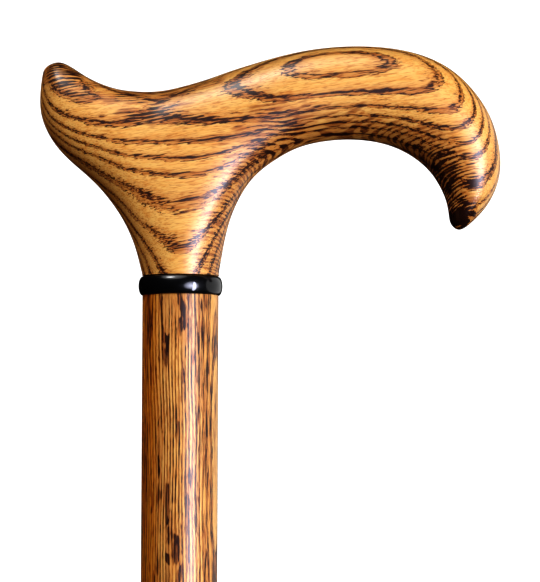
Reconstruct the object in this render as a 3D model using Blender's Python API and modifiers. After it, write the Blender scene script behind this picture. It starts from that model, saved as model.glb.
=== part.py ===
# A derby cane: a carved ash handle and a turned ash shaft, joined by a hidden
# steel stud through a thin black collar, with a rubber ferrule on the lower end.
# Metres, +Z up along the shaft, +X towards the nose of the handle.
# The origin is the centre of the ferrule's sole.

import math

import bpy
import numpy as np
from mathutils import Vector

# Whole cane
CANE_HEIGHT = 0.915  # floor to the top of the handle
SEAT_GAP = 0.0003  # left between pieces that rest on each other
SLIDE_GAP = 0.0003  # left all round a piece that stands in a bore
ROUND_STEPS = 48  # sides of a turned piece
MERGE = 0.00001  # doubles nearer than this are one point

# Handle
HANDLE_RISE = 0.0675  # foot of the neck to the top of the handle
TAIL_REACH = 0.0410  # shaft axis to the end of the tail
NOSE_REACH = 0.0932  # shaft axis to the front of the nose
GRIP_WIDTH = 0.0264  # widest place of the handle, across the palm
NECK_DIAMETER = 0.0225  # foot of the neck
FIT_ROUNDS = 40  # passes that bring the smooth surface onto its sections
FREE_RINGS = 3  # rings from the neck's opening down whose points settle by themselves
SMOOTH_LEVELS = 2

# Collar
COLLAR_DIAMETER = 0.0245
COLLAR_HEIGHT = 0.0054
COLLAR_FACE = 0.0222  # flat ends, where wood meets the ring
COLLAR_DISH = 0.0002  # how far the flat ends lie inside the ring's full height

# Shaft
SHAFT_TOP_DIAMETER = 0.0222
SHAFT_END_DIAMETER = 0.0185
SHAFT_PARALLEL = 0.110  # length below the collar before the taper starts
SHOULDER_ROUND = 0.0004
SPIGOT_DIAMETER = 0.0170
SPIGOT_CHAMFER = 0.0005
END_CHAMFER = 0.0008

# Stud
STUD_DIAMETER = 0.0080
STUD_IN_HANDLE = 0.028
STUD_IN_SHAFT = 0.034
STUD_CHAMFER = 0.0012
DRILL_POINT = 0.0020  # cone at the end of each drilled hole

# Ferrule
FERRULE_HEIGHT = 0.050
FERRULE_BASE_DIAMETER = 0.036
FERRULE_BODY_DIAMETER = 0.0262
FERRULE_RIB_DIAMETER = 0.0282
FERRULE_RIB_HEIGHT = 0.0034
FERRULE_RIB_PITCH = 0.0066
FERRULE_RIBS = 3
FERRULE_FLOOR = 0.011  # rubber under the washer
FERRULE_FOOT = 0.0062  # height of the foot's upright wall
FERRULE_FLARE = 0.017  # height at which the flare meets the body
FERRULE_LIP_ROUND = 0.0010
FERRULE_FOOT_ROUND = 0.0012
TREAD_DISC_DIAMETER = 0.0120  # flat rubber in the middle of the sole
TREAD_GROOVES = 2
TREAD_GROOVE_WIDTH = 0.0021
TREAD_GROOVE_DEPTH = 0.0018
TREAD_DRAFT = 0.125  # lean of each side of a groove, as a share of its width
TREAD_RING_WIDTH = 0.0026

# Ferrule washer
WASHER_THICKNESS = 0.0012
WASHER_HOLE_DIAMETER = 0.0064

# Heights that follow
HANDLE_FOOT = CANE_HEIGHT - HANDLE_RISE
COLLAR_TOP = HANDLE_FOOT - SEAT_GAP
COLLAR_FOOT = COLLAR_TOP - COLLAR_HEIGHT
SHAFT_SHOULDER = COLLAR_FOOT + COLLAR_DISH - SEAT_GAP
SPIGOT_TOP = HANDLE_FOOT - SEAT_GAP
WASHER_FOOT = FERRULE_FLOOR + SEAT_GAP
SHAFT_END = WASHER_FOOT + WASHER_THICKNESS + SEAT_GAP

# Places along the handle. x counts out from the shaft's axis: 1 is the neck's edge
# and 2 the end of the tail (below zero) or of the nose. z is a share of the rise.

# Sections from the tail's end to the neck: upper point (x, z), lower point (x, z),
# half width as a share of the grip's, and how far down the widest place lies.
TAIL_SECTIONS = (
    (-1.778, 0.920, -1.999, 0.838, 0.50, 0.50),
    (-1.562, 0.865, -2.000, 0.702, 0.75, 0.48),
    (-1.312, 0.817, -1.858, 0.568, 0.85, 0.48),
    (-1.117, 0.801, -1.655, 0.476, 0.90, 0.48),
    (-0.867, 0.798, -1.443, 0.391, 0.93, 0.49),
    (-0.452, 0.804, -1.241, 0.279, 0.94, 0.50),
)
TAIL_TIP = (-1.950, 0.906)

# Sections over the neck, open below: upper point, flank point, and the half width
# of the widest place between them.
SADDLE_SECTIONS = (
    (-0.060, 0.818, -0.800, 0.306, 0.95),
    (0.410, 0.840, 0.120, 0.330, 0.96),
    (0.850, 0.864, 1.000, 0.366, 0.96),
)
SADDLE_FLANK_SHARE = 0.915  # half width at the middle flank over half the grip width

# Sections from the neck to the nose, as for the tail.
NOSE_SECTIONS = (
    (1.046, 0.893, 1.115, 0.421, 0.96, 0.50),
    (1.174, 0.941, 1.202, 0.509, 0.98, 0.48),
    (1.311, 0.980, 1.288, 0.563, 1.00, 0.46),
    (1.452, 0.998, 1.388, 0.590, 1.00, 0.45),
    (1.592, 0.993, 1.480, 0.595, 1.00, 0.45),
    (1.720, 0.961, 1.566, 0.583, 1.00, 0.46),
    (1.831, 0.893, 1.644, 0.552, 1.00, 0.47),
    (1.916, 0.790, 1.708, 0.505, 0.99, 0.48),
    (1.970, 0.678, 1.755, 0.450, 0.96, 0.50),
    (1.997, 0.555, 1.786, 0.392, 0.91, 0.51),
    (1.997, 0.438, 1.807, 0.333, 0.82, 0.51),
    (1.962, 0.326, 1.817, 0.275, 0.68, 0.50),
    (1.906, 0.245, 1.825, 0.232, 0.46, 0.50),
)
NOSE_TIP = (1.856, 0.205)

# Rings of the neck from the junction down: left (x, z) and right (x, z).
NECK_RINGS = (
    (-1.113, 0.174, 1.052, 0.290),
    (-1.048, 0.092, 1.021, 0.165),
    (-1.015, 0.036, 1.004, 0.050),
    (-1.000, 0.000, 1.000, 0.000),
)
NECK_SWELL = 0.117  # how fast the neck widens across, for each share of the rise
PALM_FULLNESS = 0.76  # how square the upper quarter of a section is
FINGER_FULLNESS = 0.72  # and the lower quarter


def clear_scene():
    for obj in list(bpy.data.objects):
        bpy.data.objects.remove(obj, do_unlink=True)


def new_collection(name):
    collection = bpy.data.collections.new(name)
    bpy.context.scene.collection.children.link(collection)
    return collection


def new_material(name, colour, roughness, metallic):
    material = bpy.data.materials.new(name)
    material.use_nodes = True
    shader = material.node_tree.nodes["Principled BSDF"]
    shader.inputs["Base Color"].default_value = (*colour, 1.0)
    shader.inputs["Roughness"].default_value = roughness
    shader.inputs["Metallic"].default_value = metallic
    return material


def add_object(name, mesh, collection, material=None):
    obj = bpy.data.objects.new(name, mesh)
    collection.objects.link(obj)
    if material:
        mesh.materials.append(material)
    return obj


def evaluated_mesh(obj):
    depsgraph = bpy.context.evaluated_depsgraph_get()
    return obj.evaluated_get(depsgraph).to_mesh()


def turn_profile(name, outline, collection, material=None):
    # outline is (radius, height) pairs down the outer side, from top to bottom.
    mesh = bpy.data.meshes.new(name)
    points = [(radius, 0.0, height) for radius, height in outline]
    edges = [(i, i + 1) for i in range(len(points) - 1)]
    mesh.from_pydata(points, edges, [])
    obj = add_object(name, mesh, collection, material)
    screw = obj.modifiers.new("Turn", "SCREW")
    screw.axis = "Z"
    screw.steps = ROUND_STEPS
    screw.render_steps = ROUND_STEPS
    screw.use_merge_vertices = True
    screw.merge_threshold = MERGE
    screw.use_smooth_shade = True
    return obj


def cut(obj, cutter):
    boolean = obj.modifiers.new("Cut " + cutter.name, "BOOLEAN")
    boolean.operation = "DIFFERENCE"
    boolean.solver = "EXACT"
    boolean.object = cutter
    cutter.hide_render = True
    cutter.display_type = "WIRE"


def arc(centre, radius, first, last, steps):
    # Points of an arc in (radius, height), with angles in degrees from +radius.
    points = []
    for i in range(steps + 1):
        angle = math.radians(first + (last - first) * i / steps)
        points.append((centre[0] + radius * math.cos(angle), centre[1] + radius * math.sin(angle)))
    return points


def handle_point(x, z, width=0.0):
    # A point of the handle from its place along the grip and its share of the rise.
    neck = NECK_DIAMETER / 2
    reach = TAIL_REACH if x < 0.0 else NOSE_REACH
    out = min(abs(x), 1.0) * neck + max(0.0, abs(x) - 1.0) * (reach - neck)
    return Vector((math.copysign(out, x), width, HANDLE_FOOT + z * HANDLE_RISE))


def closed_section(row):
    # Half of a section, from its top round one side to its bottom.
    top = handle_point(row[0], row[1])
    low = handle_point(row[2], row[3])
    half = row[4] * GRIP_WIDTH / 2
    widest = row[5]
    down = low - top
    side = Vector((0.0, half, 0.0))
    upper = top + down * widest * (1 - PALM_FULLNESS) + side * PALM_FULLNESS
    middle = top + down * widest + side
    lower = top + down * (widest + (1 - widest) * FINGER_FULLNESS) + side * FINGER_FULLNESS
    return [top, upper, middle, lower, low]


def saddle_section(row):
    # Half of a section over the neck, from its top round one side to the flank.
    top = handle_point(row[0], row[1])
    flank = handle_point(row[2], row[3], SADDLE_FLANK_SHARE * GRIP_WIDTH / 2)
    side = Vector((0.0, row[4] * GRIP_WIDTH / 2, 0.0))
    down = Vector((flank.x, 0.0, flank.z)) - top
    upper = top + down * (1 - PALM_FULLNESS) / 2 + side * PALM_FULLNESS
    middle = top + down / 2 + side
    return [top, upper, middle, flank]


def neck_ring(row, count):
    # Half of a ring of the neck, from its left point round one side to its right.
    left = handle_point(row[0], row[1])
    right = handle_point(row[2], row[3])
    half = NECK_DIAMETER / 2 * (1 + NECK_SWELL * (row[1] + row[3]) / 2)
    ring = []
    for i in range(count):
        angle = math.pi * i / (count - 1)
        point = left.lerp(right, (1 - math.cos(angle)) / 2)
        point.y = half * math.sin(angle) if 0 < i < count - 1 else 0.0
        ring.append(point)
    return ring


def handle_cage():
    # The coarse half of the handle: rows of sections along the grip, and rings
    # down the neck that start from the opening under the saddle. Returns its
    # points, its faces, the neck's foot ring and the points left to find their
    # own place between the others.
    tail = [closed_section(row) for row in TAIL_SECTIONS]
    saddle = [saddle_section(row) for row in SADDLE_SECTIONS]
    nose = [closed_section(row) for row in NOSE_SECTIONS]
    points = []
    rows = []
    for section in tail + saddle + nose:
        rows.append(list(range(len(points), len(points) + len(section))))
        points.extend(section)
    faces = []
    for first, second in zip(rows, rows[1:]):
        for j in range(min(len(first), len(second)) - 1):
            faces.append((first[j], second[j], second[j + 1], first[j + 1]))
    opening = rows[len(tail) - 1: len(tail) + len(saddle) + 1]
    ring = [opening[0][4]] + [row[3] for row in opening] + [opening[-1][4]]
    rings = [ring]
    for row in NECK_RINGS:
        rings.append(list(range(len(points), len(points) + len(ring))))
        points.extend(neck_ring(row, len(ring)))
    for upper, lower in zip(rings, rings[1:]):
        for j in range(len(ring) - 1):
            faces.append((upper[j], upper[j + 1], lower[j + 1], lower[j]))
    faces.append(tuple(rings[-1]))
    free = [point for settling in rings[:FREE_RINGS] for point in settling[1:-1]]
    for waist in (rings[0], rings[FREE_RINGS - 1]):
        free.remove(waist[len(waist) // 2])
    for tip, end in ((TAIL_TIP, rows[0]), (NOSE_TIP, rows[-1][::-1])):
        faces.append((end[0], end[1], end[2], len(points)))
        faces.append((end[2], end[3], end[4], len(points)))
        points.append(handle_point(*tip))
    return points, faces, rings[-1], free


def bending_matrices(points, faces):
    # How far each point of the mirrored cage strays from the mean of its
    # neighbours, applied twice. One matrix serves x and z, the other y.
    count = len(points)
    neighbours = [set() for _ in points]
    for face in faces:
        for first, second in zip(face, face[1:] + face[:1]):
            neighbours[first].add(second)
            neighbours[second].add(first)
    along = np.zeros((count, count))
    across = np.zeros((count, count))
    for i, near in enumerate(neighbours):
        on_plane = points[i].y == 0.0
        weights = {j: 2.0 if on_plane and points[j].y > 0.0 else 1.0 for j in near}
        total = sum(weights.values())
        for j, weight in weights.items():
            along[i, j] = weight / total
            across[i, j] = 0.0 if on_plane else weight / total
        along[i, i] = -1.0
        across[i, i] = 0.0 if on_plane else -1.0
    return along @ along, across @ across


def fit_cage(obj, targets, faces, free):
    # Moves the cage until the smooth surface passes through its targets, while
    # the free points settle where the surface bends least.
    smooth = obj.modifiers["Smooth"]
    smooth.levels = 1
    bend_along, bend_across = bending_matrices(targets, faces)
    held = [i for i in range(len(targets)) if i not in free]
    cage = np.array([tuple(point) for point in targets])
    for _ in range(FIT_ROUNDS):
        for axis, bend in enumerate((bend_along, bend_across, bend_along)):
            pull = bend[np.ix_(free, held)] @ cage[held, axis]
            cage[free, axis] = np.linalg.solve(bend[np.ix_(free, free)], -pull)
        obj.data.vertices.foreach_set("co", cage.ravel())
        obj.data.update()
        limit = evaluated_mesh(obj).vertices
        for i in held:
            cage[i] += np.array(targets[i] - limit[i].co)
    smooth.levels = smooth.render_levels


def make_handle(parts, cutters):
    points, faces, foot, free = handle_cage()
    mesh = bpy.data.meshes.new("handle")
    mesh.from_pydata(points, [], faces)
    crease = mesh.attributes.new("crease_edge", "FLOAT", "EDGE")
    for edge in mesh.edges:
        if edge.vertices[0] in foot and edge.vertices[1] in foot:
            crease.data[edge.index].value = 1.0
    mesh.shade_smooth()
    wood = new_material("lacquered_ash_handle", (0.60, 0.30, 0.10), 0.25, 0.0)
    handle = add_object("handle", mesh, parts, wood)
    mirror = handle.modifiers.new("Mirror", "MIRROR")
    mirror.use_axis = (False, True, False)
    mirror.use_clip = True
    mirror.merge_threshold = MERGE
    smooth = handle.modifiers.new("Smooth", "SUBSURF")
    smooth.levels = SMOOTH_LEVELS
    smooth.render_levels = SMOOTH_LEVELS
    fit_cage(handle, points, faces, free)
    cut(handle, make_drill("handle_drill", HANDLE_FOOT, STUD_IN_HANDLE, 1, cutters))


def make_drill(name, mouth, depth, way, cutters):
    # A blind hole for the stud, from just outside its mouth, up or down.
    radius = STUD_DIAMETER / 2 + SLIDE_GAP
    end = mouth + way * (depth + SLIDE_GAP)
    start = mouth - way * DRILL_POINT
    outline = [(0.0, end + way * DRILL_POINT), (radius, end), (radius, start), (0.0, start)]
    if way < 0:
        outline.reverse()
    return turn_profile(name, outline, cutters)


def make_collar(parts):
    # A bead: flat ends that meet the wood, and a rounded outside between them.
    half = COLLAR_HEIGHT / 2
    middle = COLLAR_FOOT + half
    face = COLLAR_FACE / 2
    bore = SPIGOT_DIAMETER / 2 + SLIDE_GAP
    bulge = COLLAR_DIAMETER / 2 - face
    outline = [(bore, middle + half - COLLAR_DISH), (face - bulge, middle + half - COLLAR_DISH)]
    steps = 10
    for i in range(steps + 1):
        angle = math.pi * (0.5 - i / steps)
        outline.append((face + bulge * math.cos(angle), middle + half * math.sin(angle)))
    outline.append((face - bulge, middle - half + COLLAR_DISH))
    outline.append((bore, middle - half + COLLAR_DISH))
    outline.append(outline[0])
    black = new_material("black_lacquer", (0.012, 0.012, 0.013), 0.12, 0.0)
    turn_profile("collar", outline, parts, black)


def make_shaft(parts, cutters):
    spigot = SPIGOT_DIAMETER / 2
    top = SHAFT_TOP_DIAMETER / 2
    end = SHAFT_END_DIAMETER / 2
    outline = [
        (0.0, SPIGOT_TOP),
        (spigot - SPIGOT_CHAMFER, SPIGOT_TOP),
        (spigot, SPIGOT_TOP - SPIGOT_CHAMFER),
        (spigot, SHAFT_SHOULDER),
        (top - SHOULDER_ROUND, SHAFT_SHOULDER),
        (top, SHAFT_SHOULDER - SHOULDER_ROUND),
        (top, SHAFT_SHOULDER - SHAFT_PARALLEL),
        (end, SHAFT_END + END_CHAMFER),
        (end - END_CHAMFER, SHAFT_END),
        (0.0, SHAFT_END),
    ]
    wood = new_material("lacquered_ash_shaft", (0.52, 0.26, 0.09), 0.25, 0.0)
    shaft = turn_profile("shaft", outline, parts, wood)
    cut(shaft, make_drill("shaft_drill", SPIGOT_TOP, STUD_IN_SHAFT, -1, cutters))


def make_stud(parts):
    radius = STUD_DIAMETER / 2
    top = HANDLE_FOOT + STUD_IN_HANDLE
    foot = SPIGOT_TOP - STUD_IN_SHAFT
    outline = [
        (0.0, top),
        (radius - STUD_CHAMFER, top),
        (radius, top - STUD_CHAMFER),
        (radius, foot + STUD_CHAMFER),
        (radius - STUD_CHAMFER, foot),
        (0.0, foot),
    ]
    steel = new_material("zinc_steel", (0.62, 0.62, 0.60), 0.35, 1.0)
    turn_profile("dowel_screw", outline, parts, steel)


def shaft_radius(height):
    start = SHAFT_SHOULDER - SHAFT_PARALLEL
    share = min(1.0, max(0.0, (start - height) / (start - SHAFT_END)))
    return (SHAFT_TOP_DIAMETER + (SHAFT_END_DIAMETER - SHAFT_TOP_DIAMETER) * share) / 2


def ferrule_outside():
    # Down the outside: lip, ribs, body, flare, upright foot.
    body = FERRULE_BODY_DIAMETER / 2
    rib = FERRULE_RIB_DIAMETER / 2
    base = FERRULE_BASE_DIAMETER / 2
    lip = FERRULE_LIP_ROUND
    slope = (rib - body) / 2
    outline = arc((rib - lip, FERRULE_HEIGHT - lip), lip, 90, 0, 3)
    for i in range(FERRULE_RIBS):
        top = FERRULE_HEIGHT - i * FERRULE_RIB_PITCH
        foot = top - FERRULE_RIB_HEIGHT
        if i > 0:
            outline.append((body, top + slope))
            outline.append((rib, top - slope))
        outline.append((rib, foot + slope))
        outline.append((body, foot - slope))
    steps = 8
    for i in range(steps + 1):
        share = i / steps
        sweep = 1 - math.cos(share * math.pi / 2)
        height = FERRULE_FLARE + (FERRULE_FOOT - FERRULE_FLARE) * math.sin(share * math.pi / 2)
        outline.append((body + (base - body) * sweep, height))
    foot_round = FERRULE_FOOT_ROUND
    outline.extend(arc((base - foot_round, foot_round), foot_round, 0, -90, 3))
    return outline


def tread_outline():
    # Inwards along the sole: concentric grooves, then the flat middle.
    outline = []
    pitch = TREAD_GROOVE_WIDTH + TREAD_RING_WIDTH
    draft = TREAD_GROOVE_WIDTH * TREAD_DRAFT
    for i in reversed(range(TREAD_GROOVES)):
        inner = TREAD_DISC_DIAMETER / 2 + i * pitch
        outer = inner + TREAD_GROOVE_WIDTH
        outline.append((outer, 0.0))
        outline.append((outer - draft, TREAD_GROOVE_DEPTH))
        outline.append((inner + draft, TREAD_GROOVE_DEPTH))
        outline.append((inner, 0.0))
    outline.append((0.0, 0.0))
    return outline


def make_ferrule(parts):
    bore_top = shaft_radius(FERRULE_HEIGHT) + SLIDE_GAP
    bore_foot = shaft_radius(SHAFT_END) + SLIDE_GAP
    inside = [
        (0.0, FERRULE_FLOOR),
        (bore_foot, FERRULE_FLOOR),
        (bore_top, FERRULE_HEIGHT - FERRULE_LIP_ROUND),
        (bore_top + FERRULE_LIP_ROUND / 2, FERRULE_HEIGHT),
    ]
    outline = inside + ferrule_outside() + tread_outline()
    rubber = new_material("black_rubber", (0.02, 0.02, 0.02), 0.6, 0.0)
    turn_profile("ferrule", outline, parts, rubber)


def make_washer(parts):
    hole = WASHER_HOLE_DIAMETER / 2
    rim = shaft_radius(SHAFT_END)
    top = WASHER_FOOT + WASHER_THICKNESS
    outline = [(hole, top), (rim, top), (rim, WASHER_FOOT), (hole, WASHER_FOOT), (hole, top)]
    steel = new_material("plain_steel", (0.55, 0.55, 0.54), 0.4, 1.0)
    turn_profile("ferrule_washer", outline, parts, steel)


def main():
    clear_scene()
    parts = new_collection("derby_cane")
    cutters = new_collection("cutters")
    make_handle(parts, cutters)
    make_collar(parts)
    make_shaft(parts, cutters)
    make_stud(parts)
    make_ferrule(parts)
    make_washer(parts)


main()
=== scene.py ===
import math

import bpy
import numpy as np
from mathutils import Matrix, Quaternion, Vector


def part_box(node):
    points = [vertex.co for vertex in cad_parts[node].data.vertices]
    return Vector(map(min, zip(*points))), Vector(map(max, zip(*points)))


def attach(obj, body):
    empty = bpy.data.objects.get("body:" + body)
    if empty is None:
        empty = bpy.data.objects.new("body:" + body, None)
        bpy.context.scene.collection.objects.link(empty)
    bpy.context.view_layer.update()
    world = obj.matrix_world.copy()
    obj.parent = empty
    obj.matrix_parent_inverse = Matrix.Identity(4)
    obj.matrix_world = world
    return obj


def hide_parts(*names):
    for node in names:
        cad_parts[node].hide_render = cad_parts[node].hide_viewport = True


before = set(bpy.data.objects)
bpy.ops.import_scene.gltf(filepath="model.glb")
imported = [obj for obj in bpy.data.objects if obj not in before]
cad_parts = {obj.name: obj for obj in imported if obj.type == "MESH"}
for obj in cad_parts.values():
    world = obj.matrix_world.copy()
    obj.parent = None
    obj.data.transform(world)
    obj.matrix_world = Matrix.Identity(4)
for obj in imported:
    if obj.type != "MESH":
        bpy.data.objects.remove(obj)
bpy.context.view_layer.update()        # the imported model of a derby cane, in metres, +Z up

mm = 0.001
print("frame loaded")


# Node helpers

def plug(tree, value, socket):
    # a socket gets linked, anything else becomes the input's own value
    if isinstance(value, bpy.types.NodeSocket):
        tree.links.new(value, socket)
    else:
        socket.default_value = value


def addNode(tree, kind, values=None, **settings):
    node = tree.nodes.new(kind)
    for name, value in settings.items():
        setattr(node, name, value)
    for key, value in (values or {}).items():
        plug(tree, value, node.inputs[key])
    return node


def calc(tree, operation, *values):
    return addNode(tree, "ShaderNodeMath", dict(enumerate(values)), operation=operation).outputs[0]


def vectorCalc(tree, operation, *values):
    return addNode(tree, "ShaderNodeVectorMath", dict(enumerate(values)), operation=operation).outputs[0]


def spread(tree, value, low, high, toLow=0.0, toHigh=1.0, style="SMOOTHSTEP"):
    values = {"Value": value, "From Min": low, "From Max": high, "To Min": toLow, "To Max": toHigh}
    return addNode(tree, "ShaderNodeMapRange", values, interpolation_type=style).outputs[0]


def noiseAt(tree, point, size, detail=2.0, roughness=0.5):
    # size is how far the noise reaches along x, y and z before it changes
    squeezed = vectorCalc(tree, "DIVIDE", point, size)
    values = {"Vector": squeezed, "Scale": 1.0, "Detail": detail, "Roughness": roughness}
    return addNode(tree, "ShaderNodeTexNoise", values).outputs["Fac"]


def driftAt(tree, point, size, detail=2.0, roughness=0.5):
    # the same noise to both sides of zero
    return calc(tree, "SUBTRACT", noiseAt(tree, point, size, detail, roughness), 0.5)


def blendColour(tree, share, first, second, style="MIX"):
    node = addNode(tree, "ShaderNodeMix", data_type="RGBA", blend_type=style)
    plug(tree, share, node.inputs["Factor"])
    plug(tree, first, node.inputs[6])
    plug(tree, second, node.inputs[7])
    return node.outputs[2]


def newGroup(name, inputs, outputs):
    tree = bpy.data.node_groups.new(name, "ShaderNodeTree")
    for label, kind, value in inputs:
        socket = tree.interface.new_socket(label, in_out="INPUT", socket_type="NodeSocket" + kind)
        socket.default_value = value
    for label, kind in outputs:
        tree.interface.new_socket(label, in_out="OUTPUT", socket_type="NodeSocket" + kind)
    given = tree.nodes.new("NodeGroupInput").outputs
    result = tree.nodes.new("NodeGroupOutput").inputs
    return tree, given, result


def placeGroup(tree, group, values):
    node = tree.nodes.new("ShaderNodeGroup")
    node.node_tree = group
    for key, value in values.items():
        plug(tree, value, node.inputs[key])
    return node.outputs


def newMaterial(name, values):
    material = bpy.data.materials.new(name)
    material.use_nodes = True
    tree = material.node_tree
    shader = tree.nodes["Principled BSDF"]
    for key, value in values.items():
        shader.inputs[key].default_value = value
    return material, tree, shader


def addBump(tree, shader, height, distance, strength=1.0):
    bump = addNode(tree, "ShaderNodeBump", {"Height": height, "Distance": distance, "Strength": strength})
    tree.links.new(bump.outputs["Normal"], shader.inputs["Normal"])


# Ash wood: growth rings round a far pith, with open pores in each ring's early
# wood, all in one solid so that every cut through it shows its own figure.

ash = {
    "light": (0.63, 0.372, 0.114, 1.0),
    "warm": (0.56, 0.238, 0.046, 1.0),
    "amber": (0.32, 0.090, 0.014, 1.0),
    "brown": (0.21, 0.052, 0.008, 1.0),
    "black": (0.020, 0.006, 0.003, 1.0),
    # how far each figure reaches, in mm: along the fibre, outwards, round the pith
    "swellReach": (30.0, 9.0, 8.0),
    "flameReach": (7.0, 0.5, 0.5),
    "poreReach": (8.0, 0.46, 0.46),
    "patchReach": (14.0, 2.0, 3.0),
    "strengthReach": (45.0, 3.0, 12.0),
    "hairReach": (10.0, 0.52, 0.52),
    "lineReach": (26.0, 1.0, 1.2),
    "bendReach": (20.0, 12.0, 6.0),
    "charReach": (6.0, 4.0, 1.3),
    "fleckReach": (2.6, 0.26, 0.26),
    # in rings: how far they swell and flicker, and where in a ring its pores start
    "ringSwell": 0.3,
    "ringFlame": 0.5,
    "ringStart": 0.1,
    "outsideYears": 2.4,  # how many times closer the rings are outside ring zero
    "poreRows": 4,        # rows of pores that a ring's width would hold
    "rowShare": (0.35, 0.78),  # how much the rows stand out, and the mean between them
    "closed": 0.75,       # noise above this is a pore where the wood is closed
    "patchiness": 0.14,   # how much more and less the patches are pored
    "rayPitch": 1.05,     # mm
    "rayBend": 4.0,       # in pitches
    # a stroke between two rays, in pitches: how much its width varies, what a deep
    # scorching adds, its half width, and the softness of its edge
    "strokeVaries": 1.4,
    "strokeDeeper": 0.17,
    "strokeHalf": 0.19,
    "strokeEdge": 0.08,
    "solidVaries": 1.8,   # how ragged the places are that are black all over
    # what a scorching adds to the pores: in strokes, more in deep ones, and all over
    "charPores": 0.16,
    "deepPores": 0.24,
    "solidPores": 0.40,
    "earlySpared": 0.20,  # of which a deep scorching spares the early wood this much
    # from where to where each figure comes in, and what it gives at those two
    "earlyCore": (0.20, 0.74),
    "earlyTail": (0.10, 0.95, 0.26, 0.0),
    "earlyEdge": (0.0, 0.03),
    "strength": (0.3, 0.7, 0.75, 1.15, "LINEAR"),
    "depth": (0.5, 1.2),
    "solid": (1.3, 1.8),
    "scorched": (0.25, 0.60),
    "dark": (-0.01, 0.02),
    "hairWarm": (0.46, 0.62, 0.0, 0.55),
    "lineWarm": (0.46, 0.64, 0.0, 0.30),
    "hairAmber": (0.61, 0.70, 0.0, 0.70),
    "fleckAmber": (0.53, 0.66, 0.0, 0.55),
    "poreHalo": (-0.12, 0.01),
    "charHalo": 0.70,
    "stain": 0.42,        # how amber the early wood is, and a little more where it's scorched
    "scorchStain": 1.1,
    "relief": 0.04,       # mm that the dark pores lie under the lacquer's level
    "reliefStrength": 0.5,
}


def ashBoard(tree, point, outerRing):
    # the point in mm along the fibre, outwards and round the pith
    parts = addNode(tree, "ShaderNodeSeparateXYZ", {0: point}).outputs
    squares = [calc(tree, "MULTIPLY", part, part) for part in (parts[1], parts[2])]
    fromPith = calc(tree, "SQRT", calc(tree, "ADD", *squares))
    turn = calc(tree, "ARCTAN2", parts[2], calc(tree, "MULTIPLY", parts[1], -1.0))
    around = calc(tree, "MULTIPLY", turn, outerRing)
    board = addNode(tree, "ShaderNodeCombineXYZ", {0: parts[0], 1: fromPith, 2: around}).outputs[0]
    return board, fromPith, around


def countRings(tree, given, board, fromPith):
    # which ring, counted inwards from the outer one, past which the years are narrow
    ring = calc(tree, "DIVIDE", calc(tree, "SUBTRACT", given["Outer Ring"], fromPith), given["Ring Width"])
    ring = calc(tree, "MINIMUM", ring, calc(tree, "MULTIPLY", ring, ash["outsideYears"]))
    away = calc(tree, "DIVIDE", calc(tree, "SUBTRACT", ring, given["Tight Ring"]), given["Tight Spread"])
    crowd = calc(tree, "EXPONENT", calc(tree, "MULTIPLY", calc(tree, "MULTIPLY", away, away), -1.0))
    ring = calc(tree, "MULTIPLY_ADD", crowd, given["Tight Years"], ring)
    swell = driftAt(tree, board, ash["swellReach"], 1.0)
    flame = driftAt(tree, board, ash["flameReach"], 2.0, 0.6)
    ring = calc(tree, "MULTIPLY_ADD", swell, ash["ringSwell"], ring)
    return calc(tree, "MULTIPLY_ADD", flame, ash["ringFlame"], ring)


def openEarlyWood(tree, given, board, ring):
    # how open the wood is, out from each ring's start, and the same with rows of pores
    outward = calc(tree, "FRACT", calc(tree, "SUBTRACT", ash["ringStart"], ring))
    start, most = ash["earlyCore"]
    core = spread(tree, outward, start, given["Early Share"], most, 0.0)
    early = calc(tree, "ADD", core, spread(tree, outward, *ash["earlyTail"]))
    early = calc(tree, "MULTIPLY", early, spread(tree, outward, *ash["earlyEdge"]))
    strength = spread(tree, noiseAt(tree, board, ash["strengthReach"], 1.0), *ash["strength"])
    early = calc(tree, "MULTIPLY", early, strength)
    row = calc(tree, "COSINE", calc(tree, "MULTIPLY", outward, 2 * math.pi * ash["poreRows"]))
    porous = calc(tree, "MULTIPLY", early, calc(tree, "MULTIPLY_ADD", row, *ash["rowShare"]))
    return early, porous


def scorchStrokes(tree, scorching, board, around):
    # scorched wood, in strokes between the pale rays that run out from the pith
    bend = calc(tree, "MULTIPLY", driftAt(tree, board, ash["bendReach"], 1.0), ash["rayBend"])
    lane = calc(tree, "MULTIPLY_ADD", around, 1.0 / ash["rayPitch"], bend)
    aside = calc(tree, "ABSOLUTE", calc(tree, "SUBTRACT", calc(tree, "FRACT", lane), 0.5))
    stroke = driftAt(tree, board, ash["charReach"], 2.0, 0.5)
    depth = spread(tree, scorching, *ash["depth"])
    solid = spread(tree, calc(tree, "MULTIPLY_ADD", stroke, ash["solidVaries"], scorching), *ash["solid"])
    scorched = spread(tree, calc(tree, "ADD", stroke, scorching), *ash["scorched"])
    halfWide = calc(tree, "MULTIPLY_ADD", depth, ash["strokeDeeper"], ash["strokeHalf"])
    halfWide = calc(tree, "MULTIPLY_ADD", stroke, ash["strokeVaries"], halfWide)
    char = spread(tree, calc(tree, "SUBTRACT", halfWide, aside), -ash["strokeEdge"], ash["strokeEdge"])
    char = calc(tree, "MAXIMUM", calc(tree, "MULTIPLY", char, scorched), solid)
    return depth, solid, scorched, char


def openPores(tree, openness, board, porous, spared):
    # over zero inside the pores, short dashes along the fibre that come in patches
    pore = noiseAt(tree, board, ash["poreReach"], 3.0, 0.62)
    patch = driftAt(tree, board, ash["patchReach"], 1.0)
    level = calc(tree, "MULTIPLY_ADD", porous, calc(tree, "MULTIPLY", openness, -1.0), ash["closed"])
    level = calc(tree, "MULTIPLY_ADD", patch, -ash["patchiness"], level)
    level = calc(tree, "MULTIPLY_ADD", spared, ash["earlySpared"], level)
    return calc(tree, "SUBTRACT", pore, level)


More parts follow.
